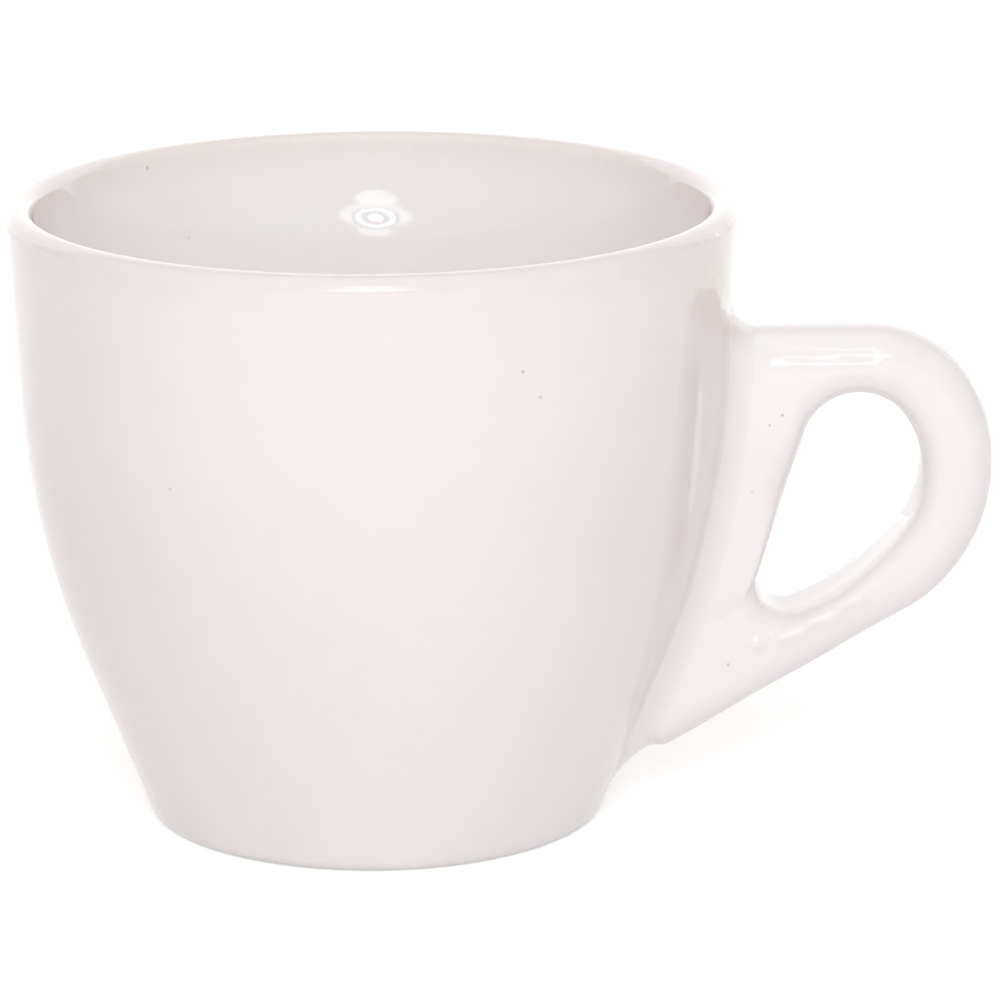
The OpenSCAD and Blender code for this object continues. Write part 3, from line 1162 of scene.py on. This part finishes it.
    def fillet(self, level: float, side: int, count: int) -> Array:
        """Outline of the root fillet over or under a level edge, from the wall outwards.

        Args:
            level: height of the edge.
            side: 1 over the edge, -1 under it.
            count: number of intervals.

        Returns:
            Points as x and z.
        """
        off = self.root_fillet * (1.0 - np.cos(np.pi / 2.0 * steps(count)))
        height = level + side * self.flare(off)
        lean = np.cos(np.radians(self.bowl.wall_slope(height)))
        return np.stack([self.bowl.wall_r(height) + off / lean, height], axis=-1)

    def stations(self) -> tuple[Array, Array, Array]:
        """Pairs of points around the loop, one on the hole and one on the outer side.

        Returns:
            The points on the hole, those on the outer side, and the kind of outer side at each.
        """
        n_fillet, n_top, n_arc, n_far, n_low, n_toe, n_root = 36, 40, 48, 104, 76, 20, 130
        peak, far, low, corner, left = self.hole
        split = peak.start - self.fan
        fillet_top = self.fillet(self.top, 1, n_fillet)
        fillet_toe = self.fillet(self.toe_h, -1, n_fillet)[::-1]
        rise = fillet_toe[-1, 1] + (fillet_top[0, 1] - fillet_toe[-1, 1]) * steps(n_root, Ease.BOTH)
        toe = self.toe.points(n_toe)
        runs = [
            (Side.TOP, Arc(peak.centre, peak.radius, peak.start, split).points(n_fillet), fillet_top),
            (Side.TOP, Arc(peak.centre, peak.radius, split, 90.0).points(n_top),
             Line(fillet_top[-1], np.array([self.top_c[0], self.top])).points(n_top)),
            (Side.ARC_TOP, Arc(peak.centre, peak.radius, 90.0, peak.stop).points(n_arc),
             Arc(self.top_c, self.grip_top_r, 90.0, self.grip_turn).points(n_arc)),
            (Side.ARC_LOW, far.points(n_far),
             Arc(self.low_c, self.grip_low_r, self.grip_turn, self.low_a).points(n_far)),
            (Side.LOW, low.points(n_low), Line(self.low_start, toe[0]).points(n_low)),
            (Side.LOW, corner.points(n_toe + n_fillet), np.concatenate([toe[:-1], fillet_toe])),
            (Side.ROOT, left.points(n_root), np.stack([self.bowl.wall_r(rise), rise], axis=-1)),
        ]
        hole = np.concatenate([run[1][:-1] for run in runs])
        outer = np.concatenate([run[2][:-1] for run in runs])
        kind = np.concatenate([np.full(len(run[1]) - 1, run[0].value) for run in runs])
        return hole, outer, kind

    def drop(self, gap: Array, radius: float) -> Array:
        """How much a rounded edge takes off the half thickness at a distance from the edge."""
        left = np.maximum(radius - np.maximum(gap, 0.0), 0.0)
        return radius - np.sqrt(radius**2 - left**2)

    def half_thickness(self, places: Array, depth: Array, width: Array, kind: Array) -> Array:
        """Half thickness of the loop at places in its plane.

        It is half the handle's thickness plus the flare of the root fillet, less the drop of the hole's edge
        and that of the outer edge.

        Args:
            places: points as x and z on the last axis, one section to a row.
            depth: distance of each point from the hole along its section.
            width: length of each section.
            kind: value of the side that each section ends on.

        Returns:
            The half thickness at each point.
        """
        stand = self.flare(self.off_wall(places))
        height = places[..., 1]
        to_top = self.top + stand - height
        to_slope = self.grip_low_r - (places - self.low_c) @ unit(self.low_a)
        to_low = np.minimum(to_slope, height - self.toe_h + stand)
        to_arc_top = self.grip_top_r - np.linalg.norm(places - self.top_c, axis=-1)
        to_arc_low = self.grip_low_r - np.linalg.norm(places - self.low_c, axis=-1)
        sides = [kind == side.value for side in (Side.TOP, Side.ARC_TOP, Side.ARC_LOW, Side.LOW)]
        gap = np.select(sides, [to_top, to_arc_top, to_arc_low, to_low], np.minimum(to_top, to_low))
        gap = np.where(kind == Side.ROOT.value, gap, np.minimum(gap, width - depth))
        full = self.thick / 2.0 + stand
        return full - self.drop(depth, self.inner_edge) - self.drop(gap, self.outer_edge)

    def surface(self) -> Surface:
        """The glazed skin as sections from the hole to the outer side, carried once round the loop.

        Returns:
            The skin with its waves and marks, which die out towards the wall.
        """
        hole, outer, kind = self.stations()
        kind = kind[:, None]
        width = np.linalg.norm(outer - hole, axis=-1)[:, None]
        heading = ((outer - hole) / width)[:, None, :]
        rounding = np.where(kind == Side.ROOT.value, self.root_fillet, self.outer_edge)
        fit = np.minimum(1.0, self.shared * width / (self.inner_edge + rounding))
        curl = 1.0 - np.cos(np.pi / 2.0 * steps(self.edge_rows))[None]
        near = fit * self.inner_edge * curl
        far = width - fit * rounding * curl[:, ::-1]
        flat = near[:, -1:] + (far[:, :1] - near[:, -1:]) * steps(self.face_rows)[None, 1:-1]
        depth = np.concatenate([near, flat, far], axis=1)
        places = hole[:, None, :] + depth[..., None] * heading
        half = self.half_thickness(places, depth, width, kind)
        band = 1.0 - 2.0 * steps(self.band_rows)[1:-1]
        columns = [
            (places, half),
            (np.repeat(places[:, -1:], len(band), axis=1), half[:, -1:] * band),
            (places[:, ::-1], -half[:, ::-1]),
            (np.repeat(places[:, :1], len(band), axis=1), -half[:, :1] * band),
        ]
        plane = np.concatenate([column[0] for column in columns], axis=1)
        side = np.concatenate([column[1] for column in columns], axis=1)
        off = self.off_wall(plane)
        wall = self.bowl.wall_r(plane[..., 1])
        fade = np.maximum(1.0 - off / self.bend_depth, 0.0) ** 2
        lean = fade * (wall - np.sqrt(wall**2 - side**2))
        even = Surface(np.stack([plane[..., 0] - lean, side, plane[..., 1]], axis=-1), rows_close=True)
        height = self.waves.at(even.points) + sum(mark.at(even.points) for mark in self.marks)
        return even.raised(height * np.clip(off / self.calm, 0.0, 1.0))

    def build(self, glaze: Material) -> None:
        """Makes the handle's coat of glaze.

        Args:
            glaze: its finish.
        """
        place_piece("handle_glaze_skin", self.surface(), Slot.GLAZE, glaze, "handle_glaze")

    @staticmethod
    def dress(clay: Material, slip: Material) -> None:
        """Gives the clay loop and its bed of slip, which stay as they are in the frame, their finishes.

        Args:
            clay: finish of the loop.
            slip: finish of the bed.
        """
        for node, finish in (("handle", clay), ("luting_slip", slip)):
            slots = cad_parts[node].data.materials
            slots.clear()
            slots.append(finish)
            LOG.info("%s: dressed in %s", node, finish.name)


@dataclass(frozen=True)
class SoftBox:
    """An area lamp that faces the cup, and may only shade it or only shine in its gloss."""

    name: str
    place: Place
    size: Span
    power: float
    colour: Tint
    shades: bool = True
    shines: bool = True

    def hang(self, aim: Place) -> bpy.types.AreaLight:
        """Hangs the lamp so that it faces a place.

        Args:
            aim: the place.

        Returns:
            The lamp's data.
        """
        data = bpy.data.lights.new(self.name, "AREA")
        data.shape = "RECTANGLE"
        data.size, data.size_y = self.size[0] * MM, self.size[1] * MM
        data.energy = self.power
        data.color = self.colour
        lamp = bpy.data.objects.new(self.name, data)
        bpy.context.scene.collection.objects.link(lamp)
        lamp.location = Vector(self.place) * MM
        lamp.rotation_mode = "QUATERNION"
        lamp.rotation_quaternion = (Vector(aim) - Vector(self.place)).to_track_quat("-Z", "Y")
        lamp.visible_camera = False
        lamp.visible_diffuse = self.shades
        lamp.visible_glossy = self.shines
        return data


@dataclass(frozen=True)
class Patch:
    """A faint oval of the flash: its strength, its rise above the middle, and half its width and height."""

    strength: float
    rise: float
    half: Span


@dataclass(frozen=True)
class FlashPattern:
    """How the flash panel glows: a small disc in a ring, with faint oval patches beyond the ring.

    The edges are soft. Each is given as two shares of the way from the middle to the oval's rim.
    """

    ring: Span = (77.0, 19.0)
    disc_edge: Span = (0.32, 0.42)
    ring_start: Span = (0.64, 0.76)
    ring_end: Span = (0.92, 1.04)
    ring_strength: float = 0.8
    patches_start: Span = (1.10, 1.26)
    patch_edge: Span = (0.75, 1.15)
    patches: tuple[Patch, ...] = (
        Patch(0.42, 5.0, (146.0, 24.0)),
        Patch(0.44, 38.0, (80.0, 19.0)),
        Patch(0.40, -25.0, (66.0, 10.0)),
    )

    @staticmethod
    def oval(graph: Graph, size: Span, rise: float, half: Span) -> Socket:
        """Distance from the middle of an oval on the panel, as a share of the way to its rim.

        Args:
            graph: the lamp's nodes.
            size: width and height of the panel.
            rise: how far the oval's middle is above the panel's.
            half: half the oval's width and height.

        Returns:
            The share, 1 on the rim.
        """
        face = graph.add("ShaderNodeNewGeometry").outputs["Parametric"]
        middle = (0.5, 0.5 + rise / size[1], 0.0)
        gap = graph.vector("SUBTRACT", face, middle)
        share = graph.vector("DIVIDE", gap, (half[0] / size[0], half[1] / size[1], 1.0))
        return graph.vector("LENGTH", share, output="Value")

    def glow(self, graph: Graph, size: Span) -> Socket:
        """Strength of the glow over the panel: the largest of disc, ring and patches.

        Args:
            graph: the lamp's nodes.
            size: width and height of the panel.

        Returns:
            The strength, from 0 to 1.
        """
        ring = self.oval(graph, size, 0.0, self.ring)
        disc = graph.ramp(ring, *self.disc_edge, 1.0, 0.0)
        start = graph.ramp(ring, *self.ring_start, 0.0, 1.0)
        end = graph.ramp(ring, *self.ring_end, self.ring_strength, 0.0)
        lit = graph.math("MAXIMUM", disc, graph.math("MULTIPLY", start, end))
        beyond = graph.ramp(ring, *self.patches_start, 0.0, 1.0)
        for patch in self.patches:
            off = self.oval(graph, size, patch.rise, patch.half)
            shown = graph.ramp(off, *self.patch_edge, patch.strength, 0.0)
            lit = graph.math("MAXIMUM", lit, graph.math("MULTIPLY", beyond, shown))
        return lit


@dataclass(frozen=True)
class Studio:
    """Floor, soft light and camera."""

    eye: Place = (0.0, -483.41, 155.24)
    aim: Place = (0.0, 0.0, 27.5)
    focal_px: float = 5667.1
    image_px: float = 1000.0
    aim_px: Span = (374.84, 504.01)
    roll: float = -0.614
    sensor: float = 36.0
    floor_size: float = 4000.0
    ambient: float = 0.54
    ambient_colour: Colour = (1.0, 0.88, 0.883, 1.0)
    floor_colour: Colour = (0.945, 0.92, 0.91, 1.0)
    floor_glow: Colour = (0.92, 1.0, 1.0, 1.0)
    floor_near: float = 0.46
    floor_far: float = 0.92
    far_from: float = 50.0
    far_to: float = 260.0
    floor_matt: float = 0.9
    front: SoftBox = SoftBox(
        "front_box", (0.0, -535.0, 300.0), (320.0, 240.0), 1.33, (0.92, 1.0, 0.99), shines=False)
    top: SoftBox = SoftBox(
        "top_box", (0.0, -150.0, 900.0), (700.0, 700.0), 0.84, (0.97, 1.0, 0.99))
    back: SoftBox = SoftBox(
        "back_panel", (0.0, 700.0, 250.0), (2000.0, 900.0), 4.3, (1.0, 1.0, 1.0), shades=False)
    flash: SoftBox = SoftBox(
        "flash_panel", (-11.0, -557.0, 177.0), (320.0, 120.0), 1.1, (1.0, 1.0, 1.0), shades=False)
    pattern: FlashPattern = FlashPattern()

    def camera(self) -> None:
        """Sets the camera where the photograph was taken from."""
        data = bpy.data.cameras.new("camera")
        data.sensor_fit = "HORIZONTAL"
        data.sensor_width = self.sensor
        data.lens = self.sensor * self.focal_px / self.image_px
        camera = bpy.data.objects.new("camera", data)
        bpy.context.scene.collection.objects.link(camera)
        sight = Vector(self.aim) - Vector(self.eye)
        centre = self.image_px / 2.0
        yaw = math.atan((centre - self.aim_px[0]) / self.focal_px)
        pitch = math.atan((self.aim_px[1] - centre) / self.focal_px)
        turn = sight.to_track_quat("-Z", "Y").to_matrix().to_4x4()
        turn = turn @ Matrix.Rotation(math.radians(self.roll), 4, "Z")
        turn = turn @ Matrix.Rotation(-yaw, 4, "Y") @ Matrix.Rotation(pitch, 4, "X")
        camera.matrix_world = Matrix.Translation(Vector(self.eye) * MM) @ turn
        bpy.context.scene.camera = camera

    @staticmethod
    def seen(graph: Graph) -> Socket:
        """Mask of the rays that show a background: from the camera, or off or through something shiny.

        Args:
            graph: the nodes that need the mask.

        Returns:
            1 for such a ray, or else 0.
        """
        path = graph.add("ShaderNodeLightPath").outputs
        direct = graph.math("MAXIMUM", path["Is Camera Ray"], path["Is Glossy Ray"])
        return graph.math("MAXIMUM", direct, path["Is Transmission Ray"])

    def world(self) -> None:
        """Lights the cup by a pale dome and shows plain white behind it."""
        world = bpy.data.worlds.new("studio")
        bpy.context.scene.world = world
        world.use_nodes = True
        graph = Graph(world.node_tree)
        dome = world.node_tree.nodes["Background"]
        dome.inputs["Color"].default_value = self.ambient_colour
        dome.inputs["Strength"].default_value = self.ambient
        white = graph.add("ShaderNodeBackground", {"Color": WHITE, "Strength": 1.0})
        shown = {0: self.seen(graph), 1: dome.outputs[0], 2: white.outputs[0]}
        mixed = graph.add("ShaderNodeMixShader", shown)
        out = world.node_tree.nodes["World Output"]
        graph.tree.links.new(mixed.outputs[0], out.inputs["Surface"])

    def floor(self) -> None:
        """Lays a pale floor that the camera sees as white wherever the cup casts no shade."""
        half = self.floor_size * MM / 2.0
        data = bpy.data.meshes.new("floor")
        corners = [(-half, -half, 0.0), (half, -half, 0.0), (half, half, 0.0), (-half, half, 0.0)]
        data.from_pydata(corners, [], [(0, 1, 2, 3)])
        floor = bpy.data.objects.new("floor", data)
        bpy.context.scene.collection.objects.link(floor)
        made = bpy.data.materials.new("pale_floor")
        made.use_nodes = True
        graph = Graph(made.node_tree)
        shader = made.node_tree.nodes["Principled BSDF"]
        shader.inputs["Base Color"].default_value = self.floor_colour
        shader.inputs["Roughness"].default_value = self.floor_matt
        shader.inputs["Specular IOR Level"].default_value = 0.0
        place = graph.add("ShaderNodeTexCoord").outputs["Object"]
        off = graph.vector("LENGTH", place, output="Value")
        lift = graph.ramp(off, self.far_from * MM, self.far_to * MM, self.floor_near, self.floor_far)
        lift = graph.math("MULTIPLY", self.seen(graph), lift)
        glow = graph.add("ShaderNodeEmission", {"Color": self.floor_glow, "Strength": lift})
        both = graph.add("ShaderNodeAddShader", {0: shader.outputs[0], 1: glow.outputs[0]})
        graph.tree.links.new(both.outputs[0], made.node_tree.nodes["Material Output"].inputs["Surface"])
        data.materials.append(made)

    def glow(self) -> None:
        """Hangs the flash panel and gives it its pattern."""
        data = self.flash.hang(self.aim)
        data.use_nodes = True
        lit = self.pattern.glow(Graph(data.node_tree), self.flash.size)
        data.node_tree.links.new(lit, data.node_tree.nodes["Emission"].inputs["Strength"])

    def build(self) -> None:
        """Sets up the whole studio."""
        bpy.context.scene.view_settings.view_transform = "Standard"
        self.camera()
        self.world()
        self.floor()
        self.front.hang(self.aim)
        self.top.hang(self.aim)
        self.back.hang(self.aim)
        self.glow()


def main() -> None:
    """Builds the cup and its studio."""
    logging.basicConfig(level=logging.INFO, format="%(name)s %(message)s")
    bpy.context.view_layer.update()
    effects = Effects()
    clay, slip = CLAY.material(effects), SLIP.material(effects)
    outer, inner = OUTSIDE.material(effects), INSIDE_PAINTED_LIGHTER.material(effects)
    loop, base = LOOP_PAINTED_LIGHTER.material(effects), FOOT.material(effects)
    bowl = Bowl()
    bowl.build(clay, outer, inner, base)
    handle = Handle(bowl)
    handle.build(loop)
    handle.dress(clay, slip)
    Studio().build()


if __name__ == "__main__":
    main()
